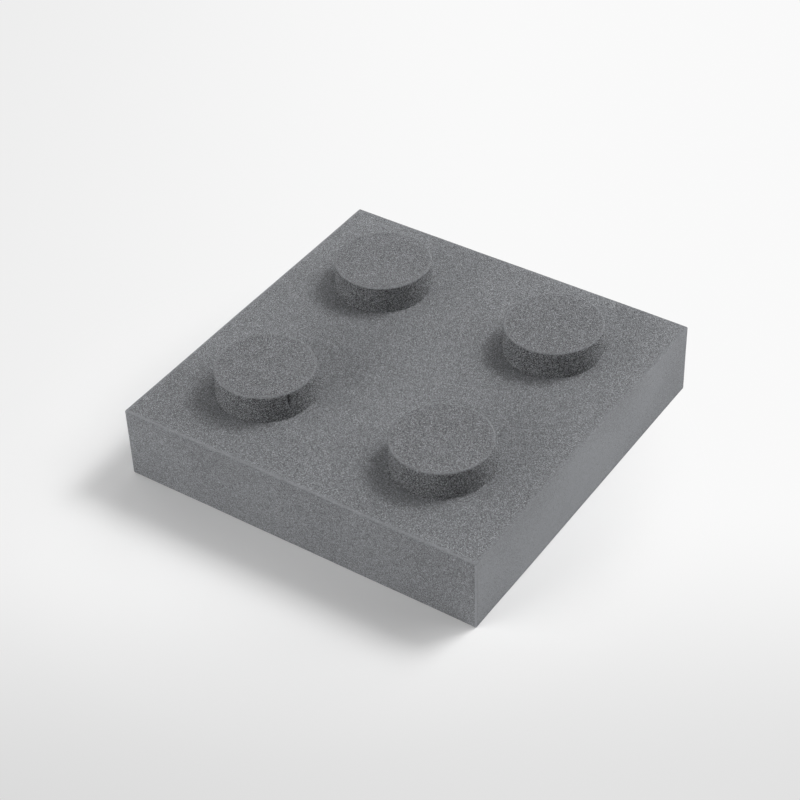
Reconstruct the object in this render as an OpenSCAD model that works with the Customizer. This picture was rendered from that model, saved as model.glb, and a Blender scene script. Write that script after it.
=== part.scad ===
// Foam wall panel: a square slab of open-cell foam with round studs standing on its face.
// The panel lies on its back, with the face up. The origin is the centre of the back.

/* [Slab] */
// Length of the slab along X
slab_l = 300; // [150:1:600]
// Width of the slab along Y
slab_w = 300; // [150:1:600]
// Thickness of the slab without its studs
slab_t = 60; // [20:1:120]
// Radius by which the cut edges and corners of the slab are eased
slab_edge_r = 1.2; // [0.2:0.1:5]

/* [Studs] */
// Diameter of a stud
stud_d = 75; // [30:0.5:100]
// Height of a stud above the face of the slab
stud_h = 22.5; // [8:0.5:60]
// Distance between the centres of neighbouring studs, the same along X and Y
stud_pitch = 152; // [110:1:220]
// Radius by which the rim of a stud is eased
stud_rim_r = 1.2; // [0.2:0.1:4]

/* [Foam] */
// Colour of the foam
foam_color = "#7a7c7e"; // ["#7a7c7e":Grey, "#3a3b3d":Charcoal, "#a9abac":Light grey]

/* [Hidden] */
// Smoothness of every round shape
$fn = 96;
// Each stud is rooted this deep in the slab, so that slab and studs are one solid
stud_root = slab_t / 2;
// Radius of the flat disc inside the eased rim of a stud
stud_flat_r = stud_d / 2 - stud_rim_r;
// As many studs as stand whole on the flat of the face, at the given pitch
studs_x = stud_count(slab_l);
studs_y = stud_count(slab_w);

// Number of studs that fit in a row along a side of the given length
function stud_count(side) = floor((side - 2 * slab_edge_r - stud_d) / stud_pitch) + 1;

// Places of count studs along one axis, centred on the panel
function stud_places(count) = [for (i = [0 : 1 : count - 1]) (i - (count - 1) / 2) * stud_pitch];

// Rectangle of the given size, centred, with its four corners eased
module eased_rectangle(size_x, size_y) {
    inner_x = size_x / 2 - slab_edge_r;
    inner_y = size_y / 2 - slab_edge_r;
    square([size_x, 2 * inner_y], center = true);
    square([2 * inner_x, size_y], center = true);
    for (x = [-inner_x, inner_x], y = [-inner_y, inner_y])
        translate([x, y])
            circle(slab_edge_r);
}

// Prism of an eased rectangle, centred, running along Z
module eased_prism(size_x, size_y, length) {
    linear_extrude(length, center = true)
        eased_rectangle(size_x, size_y);
}

// Slab with all of its twelve edges eased: the space shared by three prisms at right angles
module slab() {
    translate([0, 0, slab_t / 2])
        intersection() {
            eased_prism(slab_l, slab_w, slab_t);
            rotate([90, 0, 0])
                eased_prism(slab_l, slab_t, slab_w);
            rotate([90, 0, 90])
                eased_prism(slab_w, slab_t, slab_l);
        }
}

// Half section of a stud from its root in the slab up to its top, with the eased rim
module stud_section() {
    height = stud_root + stud_h;
    square([stud_flat_r, height]);
    square([stud_d / 2, height - stud_rim_r]);
    translate([stud_flat_r, height - stud_rim_r])
        circle(stud_rim_r);
}

// One stud, turned about Z, with its foot in the slab
module stud() {
    translate([0, 0, slab_t - stud_root])
        rotate_extrude()
            stud_section();
}

// The whole panel, one piece of foam
module foam_panel() {
    color(foam_color)
        union() {
            slab();
            for (x = stud_places(studs_x), y = stud_places(studs_y))
                translate([x, y, 0])
                    stud();
        }
}

foam_panel();
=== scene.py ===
# %% [markdown]
# # A foam wall panel
# The object is a square slab of grey open-cell foam with round studs standing on its face. It is one
# block, cut with a blade, so it has flat faces, crisp edges and thousands of tiny open cells.
# This lesson makes its skin as one welded mesh, gives it a foam finish made of shader nodes, and
# lights it softly on a pale floor.
#
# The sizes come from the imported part, which is loaded first and never changed. Everything below is
# in metres, in the part's own frame: the panel lies on its back, with the studs up.

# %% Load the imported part
import math

import bmesh
import bpy
import numpy as np
from mathutils import Matrix, Vector, noise


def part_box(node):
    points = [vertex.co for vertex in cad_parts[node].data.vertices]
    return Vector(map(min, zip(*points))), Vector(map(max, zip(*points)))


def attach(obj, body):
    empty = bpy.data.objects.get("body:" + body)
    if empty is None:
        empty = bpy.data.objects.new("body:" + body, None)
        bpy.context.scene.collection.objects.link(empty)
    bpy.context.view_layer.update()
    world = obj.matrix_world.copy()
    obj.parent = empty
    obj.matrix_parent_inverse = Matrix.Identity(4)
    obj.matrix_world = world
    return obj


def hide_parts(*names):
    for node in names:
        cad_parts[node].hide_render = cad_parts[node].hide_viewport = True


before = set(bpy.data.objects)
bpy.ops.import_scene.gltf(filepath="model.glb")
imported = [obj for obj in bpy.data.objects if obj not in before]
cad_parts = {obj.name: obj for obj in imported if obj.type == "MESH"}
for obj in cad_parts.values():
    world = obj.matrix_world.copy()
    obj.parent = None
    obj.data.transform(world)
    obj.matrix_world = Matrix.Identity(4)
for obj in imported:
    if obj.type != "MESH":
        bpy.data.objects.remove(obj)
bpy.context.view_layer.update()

MM = 0.001

# %% [markdown]
# ## Measure the solid
# A drawing could simply be copied here as numbers, but then two files would have to agree by hand.
# The solid itself knows where its face is, where the studs stand and how round its edges are, so the
# sizes are read from its corner points. A change in the part then carries over by itself.

# %% Measure the slab and the studs
solid = np.array([vertex.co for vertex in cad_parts["foam_panel"].data.vertices])
low, high = (np.array(corner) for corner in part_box("foam_panel"))
SAME = 0.01 * MM
NEAR_BORDER = 10 * MM


def middles_and_radius(values):
    """Middles of the runs that the values fall into, and the half width of the first run."""
    values = np.sort(values)
    runs = np.split(values, np.flatnonzero(np.diff(values) > NEAR_BORDER) + 1)
    return [(run[0] + run[-1]) / 2 for run in runs], (runs[0][-1] - runs[0][0]) / 2


face_z = solid[solid[:, 0] > high[0] - NEAR_BORDER, 2].max()
edge_r = high[0] - solid[np.abs(solid[:, 2] - face_z) < SAME, 0].max()
above_face = solid[solid[:, 2] > face_z + SAME]
stud_x, stud_r = middles_and_radius(above_face[:, 0])
stud_y, _ = middles_and_radius(above_face[:, 1])
stud_z = high[2]
rim_flat = middles_and_radius(solid[solid[:, 2] > stud_z - SAME, 0])[1]
rim_r = stud_r - rim_flat
print("Face at", round(face_z / MM, 2), "mm, edges eased by", round(edge_r / MM, 2), "mm")
print("Studs at", [round(x / MM, 1) for x in stud_x], "by", [round(y / MM, 1) for y in stud_y], "mm,")
print("radius", round(stud_r / MM, 2), "mm, top at", round(stud_z / MM, 2), "mm,")
print("rims eased by", round(rim_r / MM, 2), "mm")

# %% [markdown]
# ## Rings and sheets
# A slab with cylinders on it could be joined with a Boolean modifier, but that leaves large faces with
# many corners, which can neither be bent nor shaded well. Here every surface is a sheet of small quads
# drawn through rings of points, and neighbouring sheets share their border points. Welded together,
# they make one closed skin with an even flow of quads round every stud.
#
# Each point also carries three marks that the finish reads later: `open_cells_and_shade` says how open the
# foam looks there, from 0 where it is pressed shut to about 1 on a clean cut and more where it is torn, and
# also paints the shade inside a nick dark, `specks` how many strut ends catch the light, and `pale` how
# much painted highlight lies on a thin edge, as if light shone through it.

# %% Rings of points and sheets of quads
STEPS = 60  # quads along a quarter of the ring round a stud
MARKS = ("open_cells_and_shade", "specks", "pale")
sheets = []


def add_sheet(rows, cut, closed=True):
    """Keeps a sheet of quads through rows of points. A closed sheet joins its last column to its first."""
    rows = np.array(rows)
    sheets.append((rows, np.broadcast_to(cut, (*rows.shape[:2], len(MARKS))), closed))


def round_ring(centre, radius, z):
    """Ring of points round a stud, counter-clockwise from the front right."""
    turn = np.radians(-45 + 90 * np.arange(4 * STEPS) / STEPS)
    x = centre[0] + radius * np.cos(turn)
    y = centre[1] + radius * np.sin(turn)
    return np.stack([x, y, np.full(len(turn), z)], axis=1)


def divided(borders):
    """Points along a line, STEPS of them in each share of it, without the last point."""
    shares = zip(borders, borders[1:])
    return np.concatenate([np.linspace(a, b, STEPS, endpoint=False) for a, b in shares])


def square_ring(xs, ys, z):
    """Ring of points round a rectangle, in step with round_ring."""
    right = [(xs[-1], y, z) for y in divided(ys)]
    back = [(x, ys[-1], z) for x in divided(xs[::-1])]
    left = [(xs[0], y, z) for y in divided(ys[::-1])]
    front = [(x, ys[0], z) for x in divided(xs)]
    return np.array(right + back + left + front)


print("A ring round a stud has", len(round_ring((0, 0), stud_r, 0)), "points,",
      round(2 * math.pi * stud_r / (4 * STEPS) / MM, 2), "mm apart")

# %% [markdown]
# ## The kinds of cut
# On the real panel the grain isn't the same all over. The stud walls, cut round by a blade that
# tears a little, are the coarsest. The tops are a clean cut. One pair of sides is almost smooth, as
# foam is when it was sliced along the way it rose in the mould. The edges of the other pair are thin
# smooth lines, a little paler than the rest, with a faint painted highlight as if light shone through
# thin struts there. The upright corner at the front right is the palest of all, by a strong painted
# highlight, and the other corners carry a weak one. An edge fades out within a few millimetres on the flat.
#
# Each kind of cut has a value for every mark. One grey for the whole block would be shorter, but then
# the walls would look as fine as the sides. Sides are listed counter-clockwise from the right, and a
# corner goes with the side that ends in it.

# %% Marks of each kind of cut
FACE = np.array((0.78, 0.78, 0.0))
STUD_TOP = np.array((1.1, 0.75, 0.0))
STUD_WALL = np.array((2.3, 3.0, 0.0))
BACK = np.array((0.6, 0.6, 0.0))
RIM = np.array((0.62, 0.3, 0.0))
ROUGH_EDGE = np.array((0.32, 0.2, 0.03))
SMOOTH_EDGE = np.array((0.47, 0.22, 0.0))
# The palest corner carries a strong painted highlight, the other corners a weak one.
HIGHLIT_CORNER = np.array((0.3, 0.2, 0.48))
CORNER = np.array((0.3, 0.2, 0.1))
SMOOTH_SIDE = np.array((0.36, 0.12, 0.0))
ROUGH_SIDE = np.array((0.66, 0.62, 0.0))
SIDES = {"right": SMOOTH_SIDE, "back": SMOOTH_SIDE, "left": ROUGH_SIDE, "front": ROUGH_SIDE}
EDGES = {"right": SMOOTH_EDGE, "back": SMOOTH_EDGE, "left": ROUGH_EDGE, "front": ROUGH_EDGE}
CORNERS = {"right": CORNER, "back": CORNER, "left": CORNER, "front": HIGHLIT_CORNER}
EDGE_FADE = 1.8 * MM


def nearness(distance):
    """Share from 1 on an edge to 0 where the edge no longer shows."""
    return np.clip(1 - distance / EDGE_FADE, 0, 1)


def passing(cut, edge, near):
    """Marks that pass from those of a cut to those of an edge, by how near the edge is."""
    return cut + (edge - cut) * near[..., None]


print("Marks", MARKS, "of the face:", FACE, "and of a stud's wall:", STUD_WALL)

# %% [markdown]
# ## The studs
# A stud is a disc on a wall. A disc could be a fan of triangles, but they pinch at the middle. A square
# grid bent into a disc has no such point: each grid point (x, y) in the square from -1 to 1 moves to
# (x * sqrt(1 - y*y / 2), y * sqrt(1 - x*x / 2)). The grid lines are spaced so that the border points
# fall evenly round the circle and meet the ring of the wall.

# %% Tops, rims and walls of the studs
RIM_STEPS = 4
WALL_STEPS = 15


def eased(steps):
    """Sine and one minus cosine of the angles across a rounded edge, from the flat to the wall."""
    turn = np.linspace(0, math.pi / 2, steps + 1)
    return list(zip(np.sin(turn), 1 - np.cos(turn)))


def disc(centre, radius, z):
    """Square grid of points bent into a disc."""
    line = math.sqrt(2) * np.sin(np.radians(np.linspace(-45, 45, STEPS + 1)))
    x, y = np.meshgrid(line, line)
    u = centre[0] + radius * x * np.sqrt(1 - y * y / 2)
    v = centre[1] + radius * y * np.sqrt(1 - x * x / 2)
    return np.stack([u, v, np.full(u.shape, z)], axis=-1)


def stud(centre):
    """Top, rim and wall of one stud, down to its foot on the face."""
    top = disc(centre, rim_flat, stud_z)
    near = nearness(rim_flat - np.hypot(top[..., 0] - centre[0], top[..., 1] - centre[1]))
    add_sheet(top, passing(STUD_TOP, RIM, near), closed=False)
    steps = eased(RIM_STEPS)
    rim = [round_ring(centre, rim_flat + rim_r * out, stud_z - rim_r * down) for out, down in steps]
    on_rim = np.array([[1]] * RIM_STEPS + [[0]])
    add_sheet(rim, passing(STUD_WALL, RIM, on_rim))
    levels = np.linspace(stud_z - rim_r, face_z, WALL_STEPS + 1)
    add_sheet([round_ring(centre, stud_r, z) for z in levels], STUD_WALL)


stud_centres = [(x, y) for x in stud_x for y in stud_y]
for centre in stud_centres:
    stud(centre)
print(len(stud_centres), "studs in", len(sheets), "sheets")

# %% [markdown]
# ## The face
# The face is shared out between the studs: each has a square of it, with a round hole where the stud
# stands. Rings that change little by little from that circle to that square fill the share, so the
# quads run round the stud and still meet their neighbours along straight lines.

# %% The face round each stud
FACE_RINGS = 20


def shares(places, start, end):
    """Borders of the shares of a side, halfway between neighbouring studs."""
    halfway = [(a + b) / 2 for a, b in zip(places, places[1:])]
    return [start, *halfway, end]


def face_cut(points):
    """Marks of points on the face, which pass to those of the nearest edge."""
    x, y = points[..., 0], points[..., 1]
    gaps = {"right": face_x[-1] - x, "back": face_y[-1] - y, "left": x - face_x[0], "front": y - face_y[0]}
    distances = np.stack(list(gaps.values()))
    nearest = np.array([EDGES[side] for side in gaps])[distances.argmin(axis=0)]
    return passing(FACE, nearest, nearness(distances.min(axis=0)))


face_x = shares(stud_x, low[0] + edge_r, high[0] - edge_r)
face_y = shares(stud_y, low[1] + edge_r, high[1] - edge_r)
for i, x in enumerate(stud_x):
    for j, y in enumerate(stud_y):
        foot = round_ring((x, y), stud_r, face_z)
        border = square_ring(face_x[i:i + 2], face_y[j:j + 2], face_z)
        rows = np.array([foot + (border - foot) * t for t in np.linspace(0, 1, FACE_RINGS + 1)])
        add_sheet(rows, face_cut(rows))
print("Face in shares with borders at", [round(x / MM, 1) for x in face_x], "mm")

# %% [markdown]
# ## Edges, sides and back
# A Bevel modifier could round the edges, but here the round is part of the sheet: one outline of the
# slab, pushed out and down step by step, makes the eased top edge, the side and the eased bottom edge.
# At the corners the outline has a few extra points in one place that fan out as it is pushed, which
# rounds the upright edges too. The weld later turns the quads that start there into triangles.

# %% Edges, sides and back of the slab
EDGE_STEPS = 4
CORNER_STEPS = 4
SIDE_STEPS = 24


def with_end(borders):
    """Points along a line, with the last point."""
    return np.append(divided(borders), borders[-1])


def outline():
    """Points of the slab's outline, the way each one faces and the marks of its cut and its edge."""
    sides = {
        "right": [(face_x[-1], y) for y in with_end(face_y)],
        "back": [(x, face_y[-1]) for x in with_end(face_x[::-1])],
        "left": [(face_x[0], y) for y in with_end(face_y[::-1])],
        "front": [(x, face_y[0]) for x in with_end(face_x)],
    }
    points, facing, cuts, edges = [], [], [], []
    for number, (side, line) in enumerate(sides.items()):
        fan = [line[-1]] * (CORNER_STEPS - 1)
        turns = [0] * len(line) + [step / CORNER_STEPS for step in range(1, CORNER_STEPS)]
        points += line + fan
        facing += [math.pi / 2 * (number + turn) for turn in turns]
        cuts += [SIDES[side]] * len(line) + [CORNERS[side]] * len(fan)
        edges += [EDGES[side]] * len(turns)
    ways = np.stack([np.cos(facing), np.sin(facing)], axis=1)
    return np.array(points), ways, np.array(cuts), np.array(edges)


def slab_sides():
    """One sheet over the top edge, the side and the bottom edge."""
    points, ways, cuts, edges = outline()
    top = [(edge_r * out, face_z - edge_r * down) for out, down in eased(EDGE_STEPS)]
    side = [(edge_r, z) for z in np.linspace(face_z - edge_r, low[2] + edge_r, SIDE_STEPS + 1)[1:-1]]
    bottom = [(edge_r * out, low[2] + edge_r * down) for out, down in reversed(eased(EDGE_STEPS))]
    profile = top + side + bottom
    rows = [np.column_stack([points + out * ways, np.full(len(points), z)]) for out, z in profile]
    on_edge = np.zeros((len(profile), 1))
    on_edge[:EDGE_STEPS] = 1
    on_edge[-EDGE_STEPS:] = 1
    add_sheet(rows, passing(cuts, edges, on_edge))


slab_sides()
back_x, back_y = np.meshgrid(with_end(face_x), with_end(face_y))
add_sheet(np.stack([back_x, back_y, np.full(back_x.shape, low[2])], axis=-1), BACK, closed=False)
print("All sheets:", len(sheets))

# %% [markdown]
# ## Weld the skin
# The sheets are still loose. Merging points that lie in the same place joins them, and turning all
# faces outwards gives the skin one inside and one outside. A closed skin has exactly two faces on every
# edge, so the cell counts the edges that don't.

# %% Weld the sheets into one skin
def sheet_faces(first, shape, closed):
    """Corner numbers of the quads of a sheet whose first point has the number first."""
    index = first + np.arange(shape[0] * shape[1]).reshape(shape)
    here = index if closed else index[:, :-1]
    there = np.roll(index, -1, axis=1) if closed else index[:, 1:]
    return np.stack([here[:-1], there[:-1], there[1:], here[1:]], axis=-1).reshape(-1, 4)


def welded(name):
    """Mesh of all the sheets, welded along their borders."""
    points = np.concatenate([rows.reshape(-1, 3) for rows, _, _ in sheets])
    firsts = np.cumsum([0] + [rows.shape[0] * rows.shape[1] for rows, _, _ in sheets])
    faces = [sheet_faces(n, rows.shape[:2], closed) for n, (rows, _, closed) in zip(firsts, sheets)]
    mesh = bpy.data.meshes.new(name)
    mesh.from_pydata(points.tolist(), [], np.concatenate(faces).tolist())
    marks = np.concatenate([cut.reshape(-1, len(MARKS)) for _, cut, _ in sheets])
    for mark, values in zip(MARKS, marks.T.astype(np.float32)):
        attribute = mesh.attributes.new(mark, "FLOAT", "POINT")
        attribute.data.foreach_set("value", np.ascontiguousarray(values))
    work = bmesh.new()
    work.from_mesh(mesh)
    bmesh.ops.remove_doubles(work, verts=work.verts, dist=SAME)
    bmesh.ops.recalc_face_normals(work, faces=work.faces)
    work.to_mesh(mesh)
    loose = sum(not edge.is_manifold for edge in work.edges)
    work.free()
    return mesh, loose


skin_mesh, loose_edges = welded("foam_skin")
triangles = sum(len(face.vertices) - 2 for face in skin_mesh.polygons)
print("Skin:", len(skin_mesh.vertices), "points,", triangles, "triangles,", loose_edges, "open edges")

# %% [markdown]
# ## Small unevenness
# A blade wanders a little as it goes through something soft, so no face is quite flat and no edge quite
# straight. A Displace modifier could do this along the normals, but it would split at the sharp foot of
# a stud. Moving every point by a smooth noise that depends only on its place keeps the skin whole. The
# back stays flat, because the panel lies on it.
#
# Blender has a ready noise vector, but it starts from the clock and comes out different in every run.
# The plain noise doesn't, so it is read at three far places, one for each direction.

# %% Let the cut wander
WANDER = ((70 * MM, 0.30 * MM), (16 * MM, 0.03 * MM))  # length and height of the waves
READ_AT = (Vector((7.3, 2.9, 5.1)), Vector((31.7, 18.4, 9.6)), Vector((-14.2, 27.8, -21.5)))
FLAT_BELOW = 4 * MM


def wave(place):
    """Smooth noise in each of the three directions."""
    return Vector([noise.noise(place + offset) for offset in READ_AT])


def wander(place):
    """How far the cut has strayed at a place."""
    return sum((wave(place / length) * height for length, height in WANDER), Vector())


strays = []
for vertex in skin_mesh.vertices:
    stray = wander(vertex.co)
    stray.z *= min(1, max(0, (vertex.co.z - low[2]) / FLAT_BELOW))
    vertex.co += stray
    strays.append(stray.length)
print("The cut strays by", round(max(strays) / MM, 2), "mm at most,",
      round(sum(strays) / len(strays) / MM, 2), "mm on average")

# %% [markdown]
# ## The nick
# The stud nearest the left corner has a short upright tear in its wall, from below the rim to halfway
# down. It could be cut out with a Boolean, but a tear has no clean walls. It is a dent in the mesh along
# one column of points, and the shade inside the tear is painted: its points are marked as wide open and
# without specks, so that the finish darkens them.

# %% Tear a nick in one stud
NICK_STUD = min(stud_centres)
NICK_TURN = math.radians(-27)
NICK_DEEP = 1.5 * MM
NICK_WIDE = 0.5 * MM
NICK_LONG = 11 * MM
NICK_TAPER = 3  # the lowest third of the nick runs out
NICK_LEAST = 0.05  # share below which a point stays
# Marks of the nick, painted shade: wide open and without specks, so the tear comes out dark.
NICK_SHADE = np.array((8.0, 0.0, 0.0))


def nick_share(place):
    """How deep the nick is at a place, from 0 to 1."""
    from_axis = Vector((place.x - NICK_STUD[0], place.y - NICK_STUD[1]))
    below_rim = stud_z - rim_r - place.z
    if abs(from_axis.length - stud_r) > rim_r / 2 or not 0 <= below_rim <= NICK_LONG:
        return 0
    turn = math.atan2(from_axis.y, from_axis.x) - NICK_TURN
    across = math.exp(-((turn * stud_r / NICK_WIDE) ** 2) / 2)
    return across * min(1, (1 - below_rim / NICK_LONG) * NICK_TAPER)


nicked = 0
mark_values = [skin_mesh.attributes[name].data for name in MARKS]
for vertex in skin_mesh.vertices:
    share = nick_share(vertex.co)
    if share > NICK_LEAST:
        inwards = Vector((NICK_STUD[0] - vertex.co.x, NICK_STUD[1] - vertex.co.y, 0)).normalized()
        vertex.co += inwards * NICK_DEEP * share
        for values, mark in zip(mark_values, NICK_SHADE):
            values[vertex.index].value += (mark - values[vertex.index].value) * share
        nicked += 1
print("The nick moved", nicked, "points")

# %% [markdown]
# ## One piece of the object
# The skin becomes an object that stands for the plain solid. Shading is smooth over the eased edges and
# sharp where a stud meets the face.

# %% Make the panel
SHARP = math.radians(50)
skin_mesh.shade_smooth()
skin_mesh.set_sharp_from_angle(angle=SHARP)
panel = bpy.data.objects.new("foam_panel_skin", skin_mesh)
bpy.context.scene.collection.objects.link(panel)
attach(panel, "root")
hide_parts("foam_panel")
print("Made", panel.name)

# %% [markdown]
# ## Tools for shader nodes
# A finish is a tree of small nodes, and each of them takes three or four lines of code. They could be
# wired by hand in the editor, but then nobody could read the numbers. Three helpers keep it short: one
# adds a node, one does a sum, and one eases a value from one level to another.

# %% Helpers for shader nodes
def add_node(tree, kind, **sockets):
    """New shader node with some of its input sockets set."""
    made = tree.nodes.new(kind)
    for name, value in sockets.items():
        made.inputs[name.replace("_", " ")].default_value = value
    return made


def math_node(tree, operation, first, second):
    """Math node on two values, each a socket or a number, and its result."""
    made = tree.nodes.new("ShaderNodeMath")
    made.operation = operation
    for socket, value in zip(made.inputs, (first, second)):
        if isinstance(value, (int, float)):
            socket.default_value = value
        else:
            tree.links.new(value, socket)
    return made.outputs["Value"]


def eased_range(tree, value, start, end, low_end=0.0, high_end=1.0):
    """Smooth step of a value from low_end at start to high_end at end."""
    made = tree.nodes.new("ShaderNodeMapRange")
    made.interpolation_type = "SMOOTHSTEP"
    for name, number in (("From Min", start), ("From Max", end), ("To Min", low_end), ("To Max", high_end)):
        made.inputs[name].default_value = number
    tree.links.new(value, made.inputs["Value"])
    return made.outputs["Result"]


print("Node helpers ready")

# %% [markdown]
# ## The foam finish
# Cut foam is a net of thin struts round open cells. Light dies in the cells, so they look dark, and
# the struts look light. A flat grey would lose that grain. Two Voronoi textures give the net: the
# distance to the nearest cell border draws the struts, and each cell's random colour says how deep that
# cell is. A second, finer net fills the gaps between the large cells.
#
# The same depth feeds the colour, the roughness and the bump, so that dark spots are also hollows.
# `open_cells_and_shade` scales it all, so the edges come out smooth and the nick dark with painted shade.

# %% Nets of foam cells
LARGE_CELL = 0.6 * MM
SMALL_CELL = 0.4 * MM
STRUT = 0.04  # half width of a strut, as a share of the cell
CELL_FLOOR = 0.32  # distance from the border at which a cell is at its deepest


def cell_net(tree, place, cell):
    """Depth of a net of cells, from 0 on the struts to 1 in the deepest, and a chance for each cell."""
    border = tree.nodes.new("ShaderNodeTexVoronoi")
    border.feature = "DISTANCE_TO_EDGE"
    tone = tree.nodes.new("ShaderNodeTexVoronoi")
    for texture in (border, tone):
        texture.inputs["Scale"].default_value = 1 / cell
        tree.links.new(place, texture.inputs["Vector"])
    split = tree.nodes.new("ShaderNodeSeparateColor")
    tree.links.new(tone.outputs["Color"], split.inputs["Color"])
    hollow = eased_range(tree, border.outputs["Distance"], STRUT, CELL_FLOOR)
    return math_node(tree, "MULTIPLY", hollow, split.outputs["Red"]), split.outputs["Green"]


def mark_of(tree, name):
    """One of the marks that every point of the skin carries."""
    made = tree.nodes.new("ShaderNodeAttribute")
    made.attribute_name = name
    return made.outputs["Fac"]


foam = bpy.data.materials.new("open_cell_foam")
foam.use_nodes = True
tree = foam.node_tree
place = tree.nodes.new("ShaderNodeTexCoord").outputs["Object"]
large_depth, _ = cell_net(tree, place, LARGE_CELL)
small_depth, chance = cell_net(tree, place, SMALL_CELL)
depth = math_node(tree, "MAXIMUM", large_depth, small_depth)
shown_depth = math_node(tree, "MULTIPLY", depth, mark_of(tree, "open_cells_and_shade"))
print("Cells of", round(LARGE_CELL / MM, 2), "and", round(SMALL_CELL / MM, 2), "mm")

# %% [markdown]
# ## Colour and relief
# The struts have the colour of the foam and the deep cells are nearly black. Here and there the end of
# a strut lies in the cut and catches the light, so a few of the small cells are pale specks. Foam takes
# its dye a little unevenly, so a broad noise shifts the strut colour very slightly. Over it all, thin
# edges get a paler tone, a painted highlight. The bump is as deep as the cells are wide, and the finish
# is matt, with next to no gloss.

# %% Colour, roughness and bump of the foam
STRUT_TONE = (0.236, 0.244, 0.2555, 1)
CLOUD_TONE = (0.248, 0.256, 0.2685, 1)
SPECK_TONE = (0.51, 0.530, 0.545, 1)
CELL_TONE = (0.053, 0.049, 0.053, 1)
# Painted highlight on thin edges and corners, laid on by the pale mark.
EDGE_HIGHLIGHT_TONE = (0.40, 0.411, 0.430, 1)
CLOUD = 45 * MM
CELL_DARK = 2.0
SPECK_CHANCE = 0.66
SPECK_SURE = 0.95
SPECK_SHARE = 0.95
BUMP_DEEP = 0.7 * MM
BUMP_STRENGTH = 1.0
CLOUD_DETAIL = 2.0
GLOSS = 0.15
STRUT_ROUGH = 0.85
CELL_ROUGH = 1.0
COLOUR_INPUTS = slice(6, 8)  # a Mix node has a pair of inputs for every kind of data
COLOUR_OUTPUT = 2


def mixed(tree, share, first, second):
    """Mix of two colours, each a socket or a colour, by a share."""
    made = tree.nodes.new("ShaderNodeMix")
    made.data_type = "RGBA"
    tree.links.new(share, made.inputs["Factor"])
    for socket, colour in zip(made.inputs[COLOUR_INPUTS], (first, second)):
        if isinstance(colour, tuple):
            socket.default_value = colour
        else:
            tree.links.new(colour, socket)
    return made.outputs[COLOUR_OUTPUT]


clouds = add_node(tree, "ShaderNodeTexNoise", Scale=1 / CLOUD, Detail=CLOUD_DETAIL)
tree.links.new(place, clouds.inputs["Vector"])
struts = mixed(tree, clouds.outputs["Fac"], STRUT_TONE, CLOUD_TONE)
darkness = math_node(tree, "MULTIPLY", shown_depth, CELL_DARK)
speck = eased_range(tree, chance, SPECK_CHANCE, SPECK_SURE, 0.0, SPECK_SHARE)
shown_speck = math_node(tree, "MULTIPLY", speck, mark_of(tree, "specks"))
grain = mixed(tree, shown_speck, mixed(tree, darkness, struts, CELL_TONE), SPECK_TONE)
# The pale mark lays the painted highlight on thin edges and corners.
colour = mixed(tree, mark_of(tree, "pale"), grain, EDGE_HIGHLIGHT_TONE)
bump = add_node(tree, "ShaderNodeBump", Strength=BUMP_STRENGTH, Distance=BUMP_DEEP)
tree.links.new(math_node(tree, "MULTIPLY", shown_depth, -1.0), bump.inputs["Height"])
shader = tree.nodes["Principled BSDF"]
shader.inputs["Specular IOR Level"].default_value = GLOSS
tree.links.new(colour, shader.inputs["Base Color"])
rough = eased_range(tree, shown_depth, 0, 1, STRUT_ROUGH, CELL_ROUGH)
tree.links.new(rough, shader.inputs["Roughness"])
tree.links.new(bump.outputs["Normal"], shader.inputs["Normal"])
panel.data.materials.append(foam)
print("Finish has", len(tree.nodes), "nodes")

# %% [markdown]
# ## Floor and backdrop
# The panel lies on a seamless pale floor. A curved sheet with a lamp of its own could do it, but its
# light would also fall on the panel. One large plane is enough. Where the shadow falls it is a matt
# surface with painted shade, a little greyer in front and at the back left. Further out, for the camera
# alone, it passes into a soft glow of painted light that is palest behind the panel to the right and
# greyer in front, like a sheet of paper lit from there. At the panel's right and back the glow begins
# close to it and partly covers its shadow. Very far away the glow has the white of the backdrop, so that
# no horizon shows from low down.

# %% Floor and world
FLOOR_SIZE = 12.0
FLOOR_TONE = (0.865, 0.865, 0.865, 1)
# Painted shade: the matt floor is greyer in front and at the back left.
FLOOR_FRONT_TONE = (0.69, 0.69, 0.69, 1)
FLOOR_BACK_TONE = (0.786, 0.786, 0.786, 1)
TO_BACK_LEFT = math.radians(140)
BACK_FROM = -0.13
BACK_FULL = 0.007
# The painted glow begins close to the panel at its right and back and partly covers its shadow there.
SHADOW_MIDDLE = (-0.016, -0.08, 0)
MATT_WITHIN = 0.155
GLOW_FROM = 0.275
GLOW_LEFT = 0.835
GLOW_RIGHT = 0.95
TO_RIGHT = math.radians(35)
LEFT_END = -0.57
RIGHT_END = 0.13
TO_BACK = math.radians(125)
SHADED_BEFORE = -0.37
OPEN_FROM = -0.09
FRONT_SHADE = 0.8
SHADE_FADES = 0.42
SHADE_ENDS = 0.75
FADE_START = 1.2
FADE_END = 3.0
BACKDROP = 0.93
FILL = 0.1
VALUE_FIRST = 2
VALUE_SECOND = 3
VALUE_OUTPUT = 0


def seen_directly(tree):
    """1 for what the camera sees, itself or in gloss or glass, and 0 for light on its way to a surface."""
    path = tree.nodes.new("ShaderNodeLightPath")
    gloss = math_node(tree, "MAXIMUM", path.outputs["Is Glossy Ray"], path.outputs["Is Transmission Ray"])
    return math_node(tree, "MAXIMUM", path.outputs["Is Camera Ray"], gloss)


def value_mix(tree, share, first, second):
    """Value that goes from the first to the second by a share."""
    made = tree.nodes.new("ShaderNodeMix")
    tree.links.new(share, made.inputs["Factor"])
    tree.links.new(first, made.inputs[VALUE_FIRST])
    made.inputs[VALUE_SECOND].default_value = second
    return made.outputs[VALUE_OUTPUT]


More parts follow.
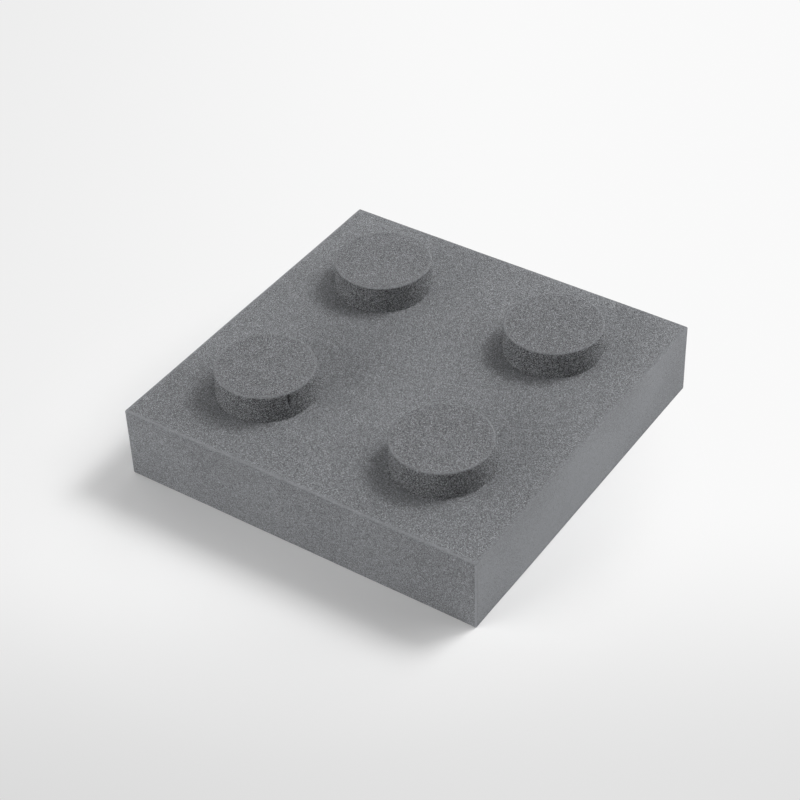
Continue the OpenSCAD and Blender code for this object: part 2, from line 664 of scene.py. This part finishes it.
def along(tree, place, turn):
    """How far a place lies in the direction turn, from +X."""
    made = tree.nodes.new("ShaderNodeVectorMath")
    made.operation = "DOT_PRODUCT"
    made.inputs[1].default_value = (math.cos(turn), math.sin(turn), 0)
    tree.links.new(place, made.inputs[0])
    return made.outputs["Value"]


def floor_finish():
    """Matt pale floor with painted shade, passing into a glow of painted light away from the panel."""
    finish = bpy.data.materials.new("pale_floor")
    finish.use_nodes = True
    tree = finish.node_tree
    matt = tree.nodes["Principled BSDF"]
    matt.inputs["Roughness"].default_value = 1.0
    matt.inputs["Specular IOR Level"].default_value = 0.0
    place = tree.nodes.new("ShaderNodeTexCoord").outputs["Object"]
    distance = tree.nodes.new("ShaderNodeVectorMath")
    distance.operation = "DISTANCE"
    distance.inputs[1].default_value = SHADOW_MIDDLE
    tree.links.new(place, distance.inputs[0])
    to_back = eased_range(tree, along(tree, place, TO_BACK_LEFT), BACK_FROM, BACK_FULL)
    from_front = along(tree, place, TO_BACK)
    open_tone = eased_range(tree, from_front, SHADED_BEFORE, OPEN_FROM)
    near_tone = mixed(tree, open_tone, FLOOR_FRONT_TONE, FLOOR_TONE)
    tree.links.new(mixed(tree, to_back, near_tone, FLOOR_BACK_TONE), matt.inputs["Base Color"])
    shade = eased_range(tree, from_front, SHADED_BEFORE, OPEN_FROM, FRONT_SHADE, 1.0)
    across = eased_range(tree, along(tree, place, TO_RIGHT), LEFT_END, RIGHT_END, GLOW_LEFT, GLOW_RIGHT)
    shade_ends = eased_range(tree, distance.outputs["Value"], SHADE_FADES, SHADE_ENDS)
    near_glow = math_node(tree, "MULTIPLY", value_mix(tree, shade_ends, shade, 1.0), across)
    far = eased_range(tree, distance.outputs["Value"], FADE_START, FADE_END)
    glow = tree.nodes.new("ShaderNodeEmission")
    tree.links.new(value_mix(tree, far, near_glow, BACKDROP), glow.inputs["Strength"])
    away = eased_range(tree, distance.outputs["Value"], MATT_WITHIN, GLOW_FROM)
    blend = tree.nodes.new("ShaderNodeMixShader")
    tree.links.new(math_node(tree, "MULTIPLY", away, seen_directly(tree)), blend.inputs["Fac"])
    tree.links.new(matt.outputs["BSDF"], blend.inputs[1])
    tree.links.new(glow.outputs["Emission"], blend.inputs[2])
    tree.links.new(blend.outputs["Shader"], tree.nodes["Material Output"].inputs["Surface"])
    return finish


bpy.ops.mesh.primitive_plane_add(size=FLOOR_SIZE, location=(0, 0, low[2]))
floor = bpy.context.object
floor.name = "pale_floor"
floor.data.materials.append(floor_finish())

world = bpy.data.worlds.new("soft_room")
bpy.context.scene.world = world
world.use_nodes = True
sky = world.node_tree.nodes["Background"]
sky_strength = eased_range(world.node_tree, seen_directly(world.node_tree), 0, 1, FILL, BACKDROP)
world.node_tree.links.new(sky_strength, sky.inputs["Strength"])
sky.inputs["Color"].default_value = (1, 1, 1, 1)
print("Floor", FLOOR_SIZE, "m wide, fill light", FILL)

# %% [markdown]
# ## Lamps
# The shadows of the studs fall towards the front left and soften within the height of a stud, so the
# main lamp is a soft box behind the panel to the right, halfway up. A wide low strip behind gives the
# face its even light. Other boxes fill the shadows: one at the front left lights the long side that the
# first two miss, and weak ones stand at the far left, the right and the front. A single lamp with a
# bright world would be simpler, but then the walls of the studs would lose their dark side.
#
# Each strength is the share of its own colour that a surface facing the lamp sends back, so that the
# powers together show a colour about as it is written.

# %% Lamps
LAMP_DISTANCE = 2.5


def soft_box(name, turn, height, wide, high, strength):
    """Area lamp that faces the panel, turn degrees from +X and height degrees up."""
    data = bpy.data.lights.new(name, "AREA")
    data.shape = "RECTANGLE"
    data.size = wide
    data.size_y = high
    data.energy = strength * (math.pi * LAMP_DISTANCE) ** 2
    lamp = bpy.data.objects.new(name, data)
    turn = math.radians(turn)
    height = math.radians(height)
    way = Vector((math.cos(turn) * math.cos(height), math.sin(turn) * math.cos(height), math.sin(height)))
    lamp.location = way * LAMP_DISTANCE
    lamp.rotation_euler = way.to_track_quat("Z", "Y").to_euler()
    bpy.context.scene.collection.objects.link(lamp)


soft_box("main_lamp", turn=60, height=52, wide=0.8, high=0.8, strength=0.60)
soft_box("back_lamp", turn=84, height=14, wide=5.0, high=0.9, strength=1.13)
soft_box("left_lamp", turn=233, height=19.5, wide=2.2, high=1.4, strength=0.90)
soft_box("far_left_lamp", turn=160, height=16, wide=1.8, high=1.2, strength=0.30)
soft_box("right_lamp", turn=30, height=38, wide=1.4, high=1.2, strength=0.27)
soft_box("front_lamp", turn=320, height=20, wide=1.6, high=1.4, strength=0.14)

# %% [markdown]
# ## Camera
# The photograph was taken with a long lens from the front right, about forty degrees up. The place was
# found by fitting a pinhole camera to the corners of the slab and the rims of the studs.

# %% Camera
VIEW_TURN = 35.193
VIEW_HEIGHT = 39.863
VIEW_ROLL = -2.239
VIEW_LENS = 91.27
VIEW_DISTANCE = 1.4664
VIEW_AIM = Vector((0.01339, -0.0353, 0.060))

turn = math.radians(VIEW_TURN)
height = math.radians(VIEW_HEIGHT)
backwards = Vector((math.sin(turn) * math.cos(height), -math.cos(turn) * math.cos(height), math.sin(height)))
camera_data = bpy.data.cameras.new("camera")
camera_data.lens = VIEW_LENS
camera = bpy.data.objects.new("camera", camera_data)
level = backwards.to_track_quat("Z", "Y").to_matrix()
rolled = level @ Matrix.Rotation(math.radians(VIEW_ROLL), 3, "Z")
camera.matrix_world = Matrix.Translation(VIEW_AIM + backwards * VIEW_DISTANCE) @ rolled.to_4x4()
bpy.context.scene.collection.objects.link(camera)
bpy.context.scene.camera = camera
bpy.context.scene.view_settings.view_transform = "Standard"
print("Camera at", [round(v, 3) for v in camera.location])
